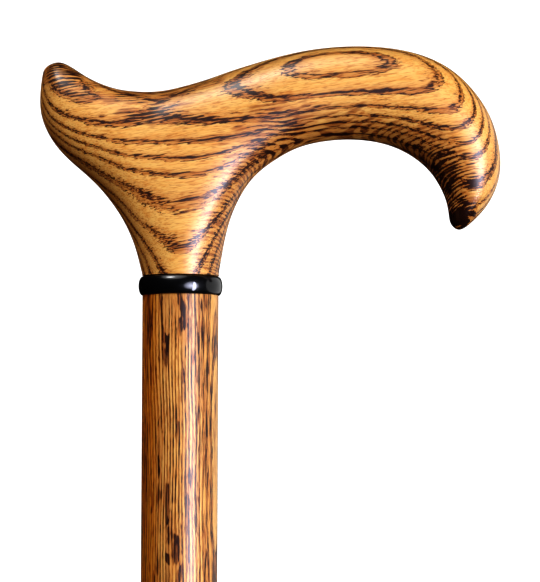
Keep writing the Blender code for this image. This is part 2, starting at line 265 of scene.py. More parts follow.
def ashGroup():
    tree, given, result = newGroup(
        "ashGrain",
        [
            ("Point", "Vector", (0.0, 0.0, 0.0)),  # mm, x along the fibre, the pith at y = z = 0
            ("Outer Ring", "Float", 240.0),  # mm from the pith to ring zero
            ("Ring Width", "Float", 2.8),
            ("Tight Years", "Float", 0.0),  # how many rings crowd together round the middle one
            ("Tight Ring", "Float", 4.3),
            ("Tight Spread", "Float", 1.6),
            ("Early Share", "Float", 0.60),
            ("Openness", "Float", 0.355),  # how much more the early wood is pored than the late
            ("Scorch", "Float", 0.0),
        ],
        [("Color", "Color"), ("Height", "Float")],
    )
    board, fromPith, around = ashBoard(tree, given["Point"], given["Outer Ring"])
    ring = countRings(tree, given, board, fromPith)
    early, porous = openEarlyWood(tree, given, board, ring)
    depth, solid, scorched, char = scorchStrokes(tree, given["Scorch"], board, around)
    burnt = openPores(tree, given["Openness"], board, porous, calc(tree, "MULTIPLY", early, depth))
    deep = calc(tree, "MULTIPLY_ADD", depth, ash["deepPores"], ash["charPores"])
    burnt = calc(tree, "MULTIPLY_ADD", char, deep, burnt)
    burnt = calc(tree, "MULTIPLY_ADD", solid, ash["solidPores"], burnt)
    dark = spread(tree, burnt, *ash["dark"])

    # colour between the pores, then round them, then of the pores
    hair = noiseAt(tree, board, ash["hairReach"], 3.0, 0.65)
    line = noiseAt(tree, board, ash["lineReach"], 2.0, 0.6)
    fleck = noiseAt(tree, board, ash["fleckReach"], 1.0)
    tone = calc(tree, "ADD", spread(tree, hair, *ash["hairWarm"]), spread(tree, line, *ash["lineWarm"]))
    stain = calc(tree, "MULTIPLY", scorched, ash["scorchStain"])
    stain = calc(tree, "MAXIMUM", calc(tree, "ADD", early, porous), stain)
    halo = calc(tree, "MULTIPLY", char, ash["charHalo"])
    halo = calc(tree, "MAXIMUM", spread(tree, burnt, *ash["poreHalo"]), halo)
    colour = blendColour(tree, tone, ash["light"], ash["warm"])
    colour = blendColour(tree, spread(tree, hair, *ash["hairAmber"]), colour, ash["amber"])
    colour = blendColour(tree, spread(tree, fleck, *ash["fleckAmber"]), colour, ash["amber"])
    colour = blendColour(tree, calc(tree, "MULTIPLY", stain, ash["stain"]), colour, ash["amber"])
    colour = blendColour(tree, halo, colour, ash["brown"])
    colour = blendColour(tree, dark, colour, ash["black"])
    tree.links.new(colour, result["Color"])
    plug(tree, calc(tree, "MULTIPLY", dark, -1.0), result["Height"])
    return tree


ashGrain = ashGroup()
lacquer = {"Roughness": 0.4, "Coat Weight": 1.0, "Coat Roughness": 0.35, "Specular IOR Level": 0.05}


# Meshes

def plainMesh(piece):
    # the shape with its modifiers made real
    shaped = bpy.data.meshes.new_from_object(piece.evaluated_get(bpy.context.evaluated_depsgraph_get()))
    piece.modifiers.clear()
    old = piece.data
    piece.data = shaped
    bpy.data.meshes.remove(old)
    shaped.name = piece.name
    return piece


def addPiece(name, mesh, material):
    piece = bpy.data.objects.new(name, mesh)
    bpy.context.scene.collection.objects.link(piece)
    mesh.materials.append(material)
    return piece


# Shaping trees

def newShaping(name, inputs):
    tree = bpy.data.node_groups.new(name, "GeometryNodeTree")
    for label, kind in inputs.items():
        tree.interface.new_socket(label, in_out="INPUT", socket_type="NodeSocket" + kind)
    tree.interface.new_socket("Geometry", in_out="OUTPUT", socket_type="NodeSocketGeometry")
    return tree, tree.nodes.new("NodeGroupInput").outputs


def shapeNode(tree, kind, values=None, **settings):
    return addNode(tree, "GeometryNode" + kind, values, **settings).outputs[0]


def endShaping(tree, geometry, material):
    # real geometry that wears its material
    real = shapeNode(tree, "RealizeInstances", {"Geometry": geometry})
    dressed = shapeNode(tree, "SetMaterial", {"Geometry": real, "Material": material})
    tree.links.new(dressed, tree.nodes.new("NodeGroupOutput").inputs["Geometry"])
    return tree


def setInputs(modifier, values):
    sockets = {item.name: item.identifier for item in modifier.node_group.interface.items_tree}
    for name, value in values.items():
        modifier[sockets[name]] = value


# Turned pieces: an outline, out and down from the top, spun round the cane's axis

def latheTree():
    tree, given = newShaping("lathe", {
        "Outline": "Geometry", "Steps": "Int", "Hub": "Float", "Weld": "Float", "Material": "Material",
    })
    outline = shapeNode(tree, "MeshToCurve", {"Mesh": given["Outline"]})
    circle = shapeNode(tree, "CurvePrimitiveCircle", {"Resolution": given["Steps"], "Radius": given["Hub"]})
    upright = shapeNode(tree, "SetCurveNormal", {"Curve": circle}, mode="Z_UP")
    spun = shapeNode(tree, "CurveToMesh", {"Curve": upright, "Profile Curve": outline})
    merged = shapeNode(tree, "MergeByDistance", {"Geometry": spun, "Distance": given["Weld"]})
    return endShaping(tree, merged, given["Material"])


lathe = latheTree()
latheHub = 0.001         # radius of the circle that every outline is swept along
latheWeld = 0.000004     # what lies closer than this at the axis becomes one point


def corner(radius, height, size, first, last, steps=6):
    # points of a rounded corner round its own centre, from one angle to another
    turns = [math.radians(first + (last - first) * i / steps) for i in range(steps + 1)]
    return [(radius + size * math.cos(turn), height + size * math.sin(turn)) for turn in turns]


def turnPiece(name, outline, material, steps=160, sharpFrom=40.0):
    mesh = bpy.data.meshes.new(name)
    points = [(radius - latheHub, -height, 0.0) for radius, height in outline]
    mesh.from_pydata(points, [(i, i + 1) for i in range(len(points) - 1)], [])
    piece = addPiece(name, mesh, material)
    spin = piece.modifiers.new("Lathe", "NODES")
    spin.node_group = lathe
    setInputs(spin, {"Steps": steps, "Hub": latheHub, "Weld": latheWeld, "Material": material})
    plainMesh(piece)
    piece.data.shade_smooth()
    piece.data.set_sharp_from_angle(angle=math.radians(sharpFrom))
    return piece


def finish(piece, body, node):
    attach(piece, body)
    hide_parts(node)
    print(node, "made:", len(piece.data.polygons), "faces")


# Handle: the carved shape, from the same sections as the solid but smoother

handle = {
    "rise": 0.0675,
    "tailReach": 0.0410,
    "noseReach": 0.0932,
    "gripWidth": 0.0264,
    "neckDiameter": 0.0225,
    "palmFullness": 0.76,
    "fingerFullness": 0.72,
    "saddleFlank": 0.915,
    "neckSwell": 0.117,
    "drill": 0.0086,
    "drillDepth": 0.0283,
    "drillPoint": 0.0020,
    "fitRounds": 40,
    "freeRings": 3,
    "levels": 4,
    # x is 1 at the neck's edge and 2 at the tail's or nose's end, z a share of the rise:
    # upper x, z, lower x, z, half width, how far down the widest place lies
    "tail": (
        (-1.778, 0.920, -1.999, 0.838, 0.50, 0.50),
        (-1.562, 0.865, -2.000, 0.702, 0.75, 0.48),
        (-1.312, 0.817, -1.858, 0.568, 0.85, 0.48),
        (-1.117, 0.801, -1.655, 0.476, 0.90, 0.48),
        (-0.867, 0.798, -1.443, 0.391, 0.93, 0.49),
        (-0.452, 0.804, -1.241, 0.279, 0.94, 0.50),
    ),
    "tailTip": (-1.950, 0.906),
    # upper x, z, flank x, z, half width
    "saddle": (
        (-0.060, 0.818, -0.800, 0.306, 0.95),
        (0.410, 0.840, 0.120, 0.330, 0.96),
        (0.850, 0.864, 1.000, 0.366, 0.96),
    ),
    # the same as the tail's
    "nose": (
        (1.046, 0.893, 1.115, 0.421, 0.96, 0.50),
        (1.174, 0.941, 1.202, 0.509, 0.98, 0.48),
        (1.311, 0.980, 1.288, 0.563, 1.00, 0.46),
        (1.452, 0.998, 1.388, 0.590, 1.00, 0.45),
        (1.592, 0.993, 1.480, 0.595, 1.00, 0.45),
        (1.720, 0.961, 1.566, 0.583, 1.00, 0.46),
        (1.831, 0.893, 1.644, 0.552, 1.00, 0.47),
        (1.916, 0.790, 1.708, 0.505, 0.99, 0.48),
        (1.970, 0.678, 1.755, 0.450, 0.96, 0.50),
        (1.997, 0.555, 1.786, 0.392, 0.91, 0.51),
        (1.997, 0.438, 1.807, 0.333, 0.82, 0.51),
        (1.962, 0.326, 1.817, 0.275, 0.68, 0.50),
        (1.906, 0.245, 1.825, 0.232, 0.46, 0.50),
    ),
    "noseTip": (1.856, 0.205),
    # left x, z, right x, z
    "neck": (
        (-1.113, 0.174, 1.052, 0.290),
        (-1.048, 0.092, 1.021, 0.165),
        (-1.015, 0.036, 1.004, 0.050),
        (-1.000, 0.000, 1.000, 0.000),
    ),
}
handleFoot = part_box("handle")[0].z


def gripPoint(x, z, width=0.0):
    neck = handle["neckDiameter"] / 2
    reach = handle["tailReach"] if x < 0.0 else handle["noseReach"]
    out = min(abs(x), 1.0) * neck + max(0.0, abs(x) - 1.0) * (reach - neck)
    return Vector((math.copysign(out, x), width, handleFoot + z * handle["rise"]))


def closedSection(row):
    # half a section, from its top round one side to its bottom
    top = gripPoint(row[0], row[1])
    low = gripPoint(row[2], row[3])
    side = Vector((0.0, row[4] * handle["gripWidth"] / 2, 0.0))
    palm = handle["palmFullness"]
    finger = handle["fingerFullness"]
    widest = row[5]
    down = low - top
    upper = top + down * widest * (1 - palm) + side * palm
    lower = top + down * (widest + (1 - widest) * finger) + side * finger
    return [top, upper, top + down * widest + side, lower, low]


def saddleSection(row):
    top = gripPoint(row[0], row[1])
    flank = gripPoint(row[2], row[3], handle["saddleFlank"] * handle["gripWidth"] / 2)
    side = Vector((0.0, row[4] * handle["gripWidth"] / 2, 0.0))
    palm = handle["palmFullness"]
    down = Vector((flank.x, 0.0, flank.z)) - top
    return [top, top + down * (1 - palm) / 2 + side * palm, top + down / 2 + side, flank]


def neckRing(row, count):
    left = gripPoint(row[0], row[1])
    right = gripPoint(row[2], row[3])
    half = handle["neckDiameter"] / 2 * (1 + handle["neckSwell"] * (row[1] + row[3]) / 2)
    ring = []
    for i in range(count):
        angle = math.pi * i / (count - 1)
        point = left.lerp(right, (1 - math.cos(angle)) / 2)
        point.y = half * math.sin(angle) if 0 < i < count - 1 else 0.0
        ring.append(point)
    return ring


def handleCage():
    # points and faces of the coarse half, its foot ring, and the points round the
    # neck's opening that settle by themselves
    tail = [closedSection(row) for row in handle["tail"]]
    saddle = [saddleSection(row) for row in handle["saddle"]]
    nose = [closedSection(row) for row in handle["nose"]]
    points = []
    rows = []
    for section in tail + saddle + nose:
        rows.append(list(range(len(points), len(points) + len(section))))
        points.extend(section)
    faces = []
    for first, second in zip(rows, rows[1:]):
        for j in range(min(len(first), len(second)) - 1):
            faces.append((first[j], second[j], second[j + 1], first[j + 1]))
    opening = rows[len(tail) - 1: len(tail) + len(saddle) + 1]
    ring = [opening[0][4]] + [row[3] for row in opening] + [opening[-1][4]]
    rings = [ring]
    for row in handle["neck"]:
        rings.append(list(range(len(points), len(points) + len(ring))))
        points.extend(neckRing(row, len(ring)))
    for upper, lower in zip(rings, rings[1:]):
        for j in range(len(ring) - 1):
            faces.append((upper[j], upper[j + 1], lower[j + 1], lower[j]))
    faces.append(tuple(rings[-1]))
    free = [point for settling in rings[:handle["freeRings"]] for point in settling[1:-1]]
    for waist in (rings[0], rings[handle["freeRings"] - 1]):
        free.remove(waist[len(waist) // 2])
    for tip, end in ((handle["tailTip"], rows[0]), (handle["noseTip"], rows[-1][::-1])):
        faces.append((end[0], end[1], end[2], len(points)))
        faces.append((end[2], end[3], end[4], len(points)))
        points.append(gripPoint(*tip))
    return points, faces, rings[-1], free


def bendingMatrices(points, faces):
    # how far each point strays from the mean of its neighbours, applied twice:
    # one matrix for x and z, the other for y
    neighbours = [set() for _ in points]
    for face in faces:
        for first, second in zip(face, face[1:] + face[:1]):
            neighbours[first].add(second)
            neighbours[second].add(first)
    along = -np.identity(len(points))
    across = -np.identity(len(points))
    for i, near in enumerate(neighbours):
        onPlane = points[i].y == 0.0
        weights = {j: 2.0 if onPlane and points[j].y > 0.0 else 1.0 for j in near}
        for j, weight in weights.items():
            along[i, j] = weight / sum(weights.values())
            across[i, j] = 0.0 if onPlane else along[i, j]
        if onPlane:
            across[i, i] = 0.0
    return along @ along, across @ across


def fitCage(piece, targets, faces, free):
    # moves the cage until the smooth surface passes through its sections
    smooth = piece.modifiers["Smooth"]
    smooth.levels = 1
    along, across = bendingMatrices(targets, faces)
    held = [i for i in range(len(targets)) if i not in free]
    cage = np.array([tuple(point) for point in targets])
    for _ in range(handle["fitRounds"]):
        for axis, bend in enumerate((along, across, along)):
            pull = bend[np.ix_(free, held)] @ cage[held, axis]
            cage[free, axis] = np.linalg.solve(bend[np.ix_(free, free)], -pull)
        piece.data.vertices.foreach_set("co", cage.ravel())
        piece.data.update()
        limit = piece.evaluated_get(bpy.context.evaluated_depsgraph_get()).to_mesh().vertices
        for i in held:
            cage[i] += np.array(targets[i] - limit[i].co)
    smooth.levels = smooth.render_levels


def drillHandle(piece, material):
    # the blind hole that the stud screws into
    radius = handle["drill"] / 2
    point = handle["drillPoint"]
    end = handleFoot + handle["drillDepth"]
    outline = [(0.0, end + point), (radius, end), (radius, handleFoot - point), (0.0, handleFoot - point)]
    cutter = turnPiece("drill", outline, material, 64)
    cut = piece.modifiers.new("Drill", "BOOLEAN")
    cut.object = cutter
    cut.operation = "DIFFERENCE"
    cut.solver = "EXACT"
    plainMesh(piece)
    bpy.data.objects.remove(cutter)
    piece.data.set_sharp_from_angle(angle=math.radians(50.0))


def carveHandle(material):
    points, faces, foot, free = handleCage()
    mesh = bpy.data.meshes.new("carvedHandle")
    mesh.from_pydata(points, [], faces)
    crease = mesh.attributes.new("crease_edge", "FLOAT", "EDGE")
    for edge in mesh.edges:
        if edge.vertices[0] in foot and edge.vertices[1] in foot:
            crease.data[edge.index].value = 1.0
    mesh.shade_smooth()
    piece = addPiece("carvedHandle", mesh, material)
    mirror = piece.modifiers.new("Mirror", "MIRROR")
    mirror.use_axis = (False, True, False)
    mirror.use_clip = True
    mirror.merge_threshold = 0.00001
    smooth = piece.modifiers.new("Smooth", "SUBSURF")
    smooth.levels = handle["levels"]
    smooth.render_levels = handle["levels"]
    fitCage(piece, points, faces, free)
    plainMesh(piece)
    drillHandle(piece, material)
    return piece


handleWood = {
    "fibreRise": 8.5,     # degrees that the fibre climbs towards the nose
    "fibreYaw": 2.0,      # degrees that it leans away from the front
    "pith": (60.0, 200.0, -53.0),  # mm from the middle of the handle's foot
    "outerRing": 238.5,
    "ringWidth": 2.73,
    "tightYears": 0.95,
    # scorched places: centre from the middle of the foot, how wide and high, the
    # share of that size at which the scorching is full and gone, and how deep it is
    "scorches": {
        "arch": ((0.047, 0.007), (0.046, 0.046), 0.80, 1.02, 0.62),
        "archTop": ((0.0300, 0.0385), (0.0210, 0.0150), 0.45, 1.10, 0.80),
        "archNose": ((0.0620, 0.0340), (0.0260, 0.0140), 0.45, 1.10, 0.80),
        "innerNose": ((0.075, 0.026), (0.012, 0.018), 0.40, 1.15, 1.1),
        "tailTop": ((-0.0338, 0.0588), (0.0062, 0.0060), 0.50, 1.40, 1.25),
        "saddleTop": ((-0.0125, 0.0518), (0.0190, 0.0040), 0.40, 1.40, 0.75),
        "tailSlope": ((-0.0230, 0.0558), (0.0100, 0.0026), 0.50, 1.40, 0.75),
        "humpEdge": ((0.0070, 0.0556), (0.0090, 0.0024), 0.40, 1.40, 0.6),
        "body": ((-0.0045, 0.0462), (0.0160, 0.0034), 0.30, 1.50, 0.75),
        "noseTip": ((0.0810, 0.0172), (0.0050, 0.0065), 0.30, 1.30, 1.9),
    },
}


def scorchMask(tree, fromFoot):
    mask = None
    for (x, z), (wide, high), full, gone, depth in handleWood["scorches"].values():
        away = vectorCalc(tree, "SUBTRACT", fromFoot, (x, 0.0, z))
        scaled = vectorCalc(tree, "MULTIPLY", away, (1 / wide, 0.0, 1 / high))
        reach = addNode(tree, "ShaderNodeVectorMath", {0: scaled}, operation="LENGTH").outputs["Value"]
        patch = spread(tree, reach, full, gone, depth, 0.0, "LINEAR")
        mask = patch if mask is None else calc(tree, "MAXIMUM", mask, patch)
    return mask


def handleMaterial():
    material, tree, shader = newMaterial("lacqueredAshHandle", lacquer)
    place = addNode(tree, "ShaderNodeTexCoord").outputs["Object"]
    fromFoot = vectorCalc(tree, "SUBTRACT", place, (0.0, 0.0, handleFoot))
    board = addNode(tree, "ShaderNodeMapping", {
        "Vector": fromFoot,
        "Rotation": (0.0, math.radians(handleWood["fibreRise"]), -math.radians(handleWood["fibreYaw"])),
        "Scale": (1000.0, 1000.0, 1000.0),
    }).outputs[0]
    grain = placeGroup(tree, ashGrain, {
        "Point": vectorCalc(tree, "SUBTRACT", board, handleWood["pith"]),
        "Outer Ring": handleWood["outerRing"],
        "Ring Width": handleWood["ringWidth"],
        "Tight Years": handleWood["tightYears"],
        "Scorch": scorchMask(tree, fromFoot),
    })
    tree.links.new(grain["Color"], shader.inputs["Base Color"])
    addBump(tree, shader, grain["Height"], ash["relief"] * mm, ash["reliefStrength"])
    return material


finish(carveHandle(handleMaterial()), "cane", "handle")


# Collar: a black lacquered bead

collar = {
    "foot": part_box("collar")[0].z,
    "height": 0.0054,
    "faceDiameter": 0.0222,
    "bore": 0.0176,
    "bulge": 0.00115,
    "dish": 0.0002,
    "flowReach": (0.004, 0.004, 0.004),  # the lacquer's own unevenness
    "flowDepth": 0.06,                   # mm
}


def lacquerMaterial():
    material, tree, shader = newMaterial("blackLacquer", {
        "Base Color": (0.004, 0.004, 0.0045, 1.0),
        "Roughness": 0.30,
        "Specular IOR Level": 0.15,
        "Coat Weight": 1.0,
        "Coat Roughness": 0.04,
    })
    place = addNode(tree, "ShaderNodeTexCoord").outputs["Object"]
    flow = noiseAt(tree, place, collar["flowReach"], 1.0)
    addBump(tree, shader, flow, collar["flowDepth"] * mm, 0.5)
    return material


def turnCollar():
    half = collar["height"] / 2
    middle = collar["foot"] + half
    face = collar["faceDiameter"] / 2
    bore = collar["bore"] / 2
    end = half - collar["dish"]
    bulge = collar["bulge"]
    outline = [(bore, middle + end), (face - bulge, middle + end)]
    steps = 40
    for i in range(steps + 1):
        turn = math.pi * (0.5 - i / steps)
        outline.append((face + bulge * math.cos(turn), middle + half * math.sin(turn)))
    outline += [(face - bulge, middle - end), (bore, middle - end), (bore, middle + end)]
    finish(turnPiece("beadCollar", outline, lacquerMaterial(), 240), "cane", "collar")


turnCollar()


# Shaft: ash again, grain upright

shaft = {
    "shoulder": 0.84177,
    "spigotTop": 0.8472,
    "spigotDiameter": 0.0170,
    "spigotChamfer": 0.0005,
    "topDiameter": 0.0222,
    "endDiameter": 0.0185,
    "end": 0.0128,
    "parallel": 0.110,
    "shoulderRound": 0.00012,
    "endChamfer": 0.0008,
    "drill": 0.0086,
    "drillEnd": 0.8129,
    "drillPoint": 0.0020,
}
shaftWood = {
    "pith": (0.0, -25.0, -72.0),  # mm from the axis, so that the front shows fine lines
    "outerRing": 95.0,
    "ringWidth": 0.9,
    "earlyShare": 0.85,
    "openness": 0.36,
    # in mm, how far the fibre wanders, in what length, and where along it that starts
    "wander": (0.0, 2.5, 4.0),
    "wanderReach": (60.0, 20.0, 20.0),
    "wanderStart": (12.0, 0.0, 0.0),
    "streakReach": (34.0, 2.0, 2.0),
    "streaks": (0.44, 0.60, 0.0, 0.72),  # where in their noise they start, and how scorched they get
    # painted shade: a reddish darkening multiplied onto the shaft's left side, where the light falls off
    "paintedShadeTint": (1.0, 0.70, 0.22, 1.0),
    "paintedShadeSide": (-0.0040, -0.0085),  # painted shade deepens between these, across the front, towards the left
}


def shaftMaterial():
    material, tree, shader = newMaterial("lacqueredAshShaft", lacquer)
    place = addNode(tree, "ShaderNodeTexCoord").outputs["Object"]
    board = addNode(tree, "ShaderNodeMapping", {
        "Vector": place,
        "Rotation": (0.0, math.radians(90.0), 0.0),
        "Scale": (1000.0, 1000.0, 1000.0),
    }).outputs[0]
    along = vectorCalc(tree, "ADD", board, shaftWood["wanderStart"])
    drift = driftAt(tree, along, shaftWood["wanderReach"], 1.0)
    board = vectorCalc(tree, "MULTIPLY_ADD", shaftWood["wander"], drift, board)
    streak = noiseAt(tree, board, shaftWood["streakReach"], 2.0)
    grain = placeGroup(tree, ashGrain, {
        "Point": vectorCalc(tree, "SUBTRACT", board, shaftWood["pith"]),
        "Outer Ring": shaftWood["outerRing"],
        "Ring Width": shaftWood["ringWidth"],
        "Early Share": shaftWood["earlyShare"],
        "Openness": shaftWood["openness"],
        "Scorch": spread(tree, streak, *shaftWood["streaks"]),
    })
    # painted shade: the wood is multiplied towards the reddish shade colour across its left side
    across = addNode(tree, "ShaderNodeSeparateXYZ", {0: place}).outputs["X"]
    share = spread(tree, across, *shaftWood["paintedShadeSide"])
    leftShaded = blendColour(tree, share, grain["Color"], shaftWood["paintedShadeTint"], "MULTIPLY")
    tree.links.new(leftShaded, shader.inputs["Base Color"])
    addBump(tree, shader, grain["Height"], ash["relief"] * mm, ash["reliefStrength"])
    return material


def turnShaft():
    top = shaft["topDiameter"] / 2
    end = shaft["endDiameter"] / 2
    spigot = shaft["spigotDiameter"] / 2
    drill = shaft["drill"] / 2
    bevel = shaft["spigotChamfer"]
    rounding = shaft["shoulderRound"]
    chamfer = shaft["endChamfer"]
    outline = [
        (0.0, shaft["drillEnd"] - shaft["drillPoint"]),
        (drill, shaft["drillEnd"]),
        (drill, shaft["spigotTop"]),
        (spigot - bevel, shaft["spigotTop"]),
        (spigot, shaft["spigotTop"] - bevel),
        (spigot, shaft["shoulder"]),
    ]
    outline += corner(top - rounding, shaft["shoulder"] - rounding, rounding, 90, 0)
    outline += [
        (top, shaft["shoulder"] - shaft["parallel"]),
        (end, shaft["end"] + chamfer),
        (end - chamfer, shaft["end"]),
        (0.0, shaft["end"]),
    ]
    finish(turnPiece("ashShaft", outline, shaftMaterial(), 240), "cane", "shaft")


turnShaft()


# Stud: a double-ended screw that joins the handle and the shaft

stud = {
    "diameter": 0.0080,
    "core": 0.0058,
    "top": 0.8755,
    "foot": 0.8132,
    "pitch": 0.0032,
    "plain": 0.0060,     # unthreaded middle
    "chamfer": 0.0012,
    "threadSteps": 64,   # in one turn
    "runOut": 0.04,      # share of the thread over which it rises at each end
    "runOutLeast": 0.1,  # how high it is at its very ends
}


def threadTree():
    # a ridge wound up the stud, thin at both of its ends
    tree, given = newShaping("thread", {
        "Blank": "Geometry", "Foot": "Float", "Length": "Float", "Pitch": "Float", "Core": "Float",
        "Ridge": "Float", "Material": "Material",
    })
    rounds = calc(tree, "DIVIDE", given["Length"], given["Pitch"])
    spiral = shapeNode(tree, "CurveSpiral", {
        "Resolution": stud["threadSteps"],
        "Rotations": rounds,
        "Start Radius": given["Core"],
        "End Radius": given["Core"],
        "Height": given["Length"],
    })
    raised = addNode(tree, "ShaderNodeCombineXYZ", {2: given["Foot"]}).outputs[0]
    placed = shapeNode(tree, "Transform", {"Geometry": spiral, "Translation": raised})
    upright = shapeNode(tree, "SetCurveNormal", {"Curve": placed}, mode="Z_UP")
    share = shapeNode(tree, "SplineParameter")
    ends = calc(tree, "MINIMUM", share, calc(tree, "SUBTRACT", 1.0, share))
    risen = spread(tree, ends, 0.0, stud["runOut"], stud["runOutLeast"], 1.0, "LINEAR")
    sized = calc(tree, "MULTIPLY", risen, given["Ridge"])
    tooth = shapeNode(tree, "CurvePrimitiveCircle", {"Resolution": 4, "Radius": 1.0})
    ridge = shapeNode(tree, "CurveToMesh", {
        "Curve": upright, "Profile Curve": tooth, "Scale": sized, "Fill Caps": True,
    })
    joined = addNode(tree, "GeometryNodeJoinGeometry")
    tree.links.new(given["Blank"], joined.inputs[0])
    tree.links.new(ridge, joined.inputs[0])
    return endShaping(tree, joined.outputs[0], given["Material"])


steel = {
    "latheRings": (0.004, 0.004, 0.00006),
    "drawnLines": (0.00008, 0.00008, 0.004),
    "cloudReach": (0.002, 0.002, 0.002),
    "dull": (0.75, 0.74, 0.72),  # share of its colour that is left in the clouds
    "lineDepth": 0.02,           # mm
}


def steelMaterial(name, colour, roughness, lineReach):
    # bright steel with fine tool lines and duller clouds
    material, tree, shader = newMaterial(name, {"Metallic": 1.0})
    place = addNode(tree, "ShaderNodeTexCoord").outputs["Object"]
    lines = noiseAt(tree, place, lineReach, 2.0)
    cloud = noiseAt(tree, place, steel["cloudReach"], 3.0)
    plug(tree, spread(tree, cloud, 0.3, 0.7, roughness * 0.8, roughness * 1.3), shader.inputs["Roughness"])
    dull = (*(part * share for part, share in zip(colour, steel["dull"])), 1.0)
    clouded = blendColour(tree, spread(tree, cloud, 0.4, 0.75), colour, dull)
    tree.links.new(clouded, shader.inputs["Base Color"])
    addBump(tree, shader, lines, steel["lineDepth"] * mm, 0.6)
    return material


def turnStud():
    core = stud["core"] / 2
    radius = stud["diameter"] / 2
    chamfer = stud["chamfer"]
    middle = (stud["top"] + stud["foot"]) / 2
    half = stud["plain"] / 2
    outline = [
        (0.0, stud["top"]),
        (core - chamfer, stud["top"]),
        (core, stud["top"] - chamfer),
        (core, middle + half + chamfer),
        (radius, middle + half),
        (radius, middle - half),
        (core, middle - half - chamfer),
        (core, stud["foot"] + chamfer),
        (core - chamfer, stud["foot"]),
        (0.0, stud["foot"]),
    ]
    material = steelMaterial("zincSteel", (0.66, 0.67, 0.66, 1.0), 0.3, steel["latheRings"])
    piece = turnPiece("threadedStud", outline, material, 64)
    thread = threadTree()
    length = (stud["top"] - stud["foot"]) / 2 - half - 3 * chamfer
    for foot in (stud["foot"] + 2 * chamfer, middle + half + chamfer):
        wind = piece.modifiers.new("Thread", "NODES")
        wind.node_group = thread
        setInputs(wind, {
            "Foot": foot,
            "Length": length,
            "Pitch": stud["pitch"],
            "Core": core,
            "Ridge": radius - core,
            "Material": material,
        })
    plainMesh(piece)
    finish(piece, "cane", "dowel_screw")


turnStud()


# Ferrule: a ribbed rubber tip with a steel washer inside it

ferrule = {
    "height": 0.050,
    "bodyDiameter": 0.0262,
    "ribDiameter": 0.0282,
    "baseDiameter": 0.036,
    "ribs": 3,
    "ribHeight": 0.0034,
    "ribPitch": 0.0066,
    "floor": 0.011,
    "foot": 0.0062,
    "flare": 0.017,
    "lipRound": 0.0010,
    "footRound": 0.0012,
    "treadDisc": 0.0120,
    "grooves": 2,
    "grooveWidth": 0.0021,
    "grooveDepth": 0.0018,
    "treadRing": 0.0026,
    "clearance": 0.0003,
}
rubber = {
    "black": (0.016, 0.016, 0.017, 1.0),
    "bloom": (0.030, 0.029, 0.028, 1.0),  # the greyer clouds that rubber gets
    "cloudReach": (0.006, 0.006, 0.006),
    "skinReach": (0.0004, 0.0004, 0.0004),
    "skinDepth": 0.03,  # mm
}
washer = {"foot": 0.0113, "thickness": 0.0012, "hole": 0.0064, "edge": 0.0002}


def shaftRadius(height):
    start = shaft["shoulder"] - shaft["parallel"]
    share = min(1.0, max(0.0, (start - height) / (start - shaft["end"])))
    return (shaft["topDiameter"] + (shaft["endDiameter"] - shaft["topDiameter"]) * share) / 2


def rubberMaterial():
    material, tree, shader = newMaterial("greyBlackRubber", {"Roughness": 0.6, "Specular IOR Level": 0.4})
    place = addNode(tree, "ShaderNodeTexCoord").outputs["Object"]
    cloud = noiseAt(tree, place, rubber["cloudReach"], 3.0)
    skin = noiseAt(tree, place, rubber["skinReach"], 2.0)
    shade = blendColour(tree, spread(tree, cloud, 0.35, 0.7), rubber["black"], rubber["bloom"])
    tree.links.new(shade, shader.inputs["Base Color"])
    plug(tree, spread(tree, cloud, 0.3, 0.7, 0.5, 0.7), shader.inputs["Roughness"])
    addBump(tree, shader, skin, rubber["skinDepth"] * mm, 0.6)
    return material


def turnFerrule():
    top = ferrule["height"]
    body = ferrule["bodyDiameter"] / 2
    rib = ferrule["ribDiameter"] / 2
    base = ferrule["baseDiameter"] / 2
    lip = ferrule["lipRound"]
    slope = (rib - body) / 2
    gap = ferrule["clearance"]
    boreTop = shaftRadius(top) + gap
    outline = [
        (0.0, ferrule["floor"]),
        (shaftRadius(shaft["end"]) + gap, ferrule["floor"]),
        (boreTop, top - lip),
        (boreTop + lip / 2, top),
    ]
    outline += corner(rib - lip, top - lip, lip, 90, 0)
    for i in range(ferrule["ribs"]):
        ribTop = top - i * ferrule["ribPitch"]
        ribFoot = ribTop - ferrule["ribHeight"]
        edge = rib - slope / 3
        if i > 0:
            outline += [(body, ribTop + slope), (edge, ribTop - slope / 2), (rib, ribTop - slope)]
        outline += [(rib, ribFoot + slope), (edge, ribFoot + slope / 2), (body, ribFoot - slope)]
    steps = 24
    for i in range(steps + 1):
        turn = i / steps * math.pi / 2
        height = ferrule["flare"] + (ferrule["foot"] - ferrule["flare"]) * math.sin(turn)
        outline.append((body + (base - body) * (1 - math.cos(turn)), height))
    footRound = ferrule["footRound"]
    outline += corner(base - footRound, footRound, footRound, 0, -90, 8)
    draft = ferrule["grooveWidth"] / 8
    for i in reversed(range(ferrule["grooves"])):
        inner = ferrule["treadDisc"] / 2 + i * (ferrule["grooveWidth"] + ferrule["treadRing"])
        outer = inner + ferrule["grooveWidth"]
        depth = ferrule["grooveDepth"]
        outline += [(outer, 0.0), (outer - draft, depth), (inner + draft, depth), (inner, 0.0)]
    outline.append((0.0, 0.0))
    finish(turnPiece("rubberFerrule", outline, rubberMaterial(), 200), "ferrule", "ferrule")


def turnWasher():
    hole = washer["hole"] / 2
    rim = shaftRadius(shaft["end"])
    edge = washer["edge"]
    low = washer["foot"]
    high = low + washer["thickness"]
    outline = [(hole, high), (rim - edge, high), (rim, high - edge), (rim, low), (hole, low), (hole, high)]
    material = steelMaterial("plainSteel", (0.60, 0.60, 0.59, 1.0), 0.35, steel["drawnLines"])
    finish(turnPiece("steelWasher", outline, material, 96), "ferrule", "ferrule_washer")


turnFerrule()
turnWasher()


# Camera: a little below the collar's level, in front of the cane

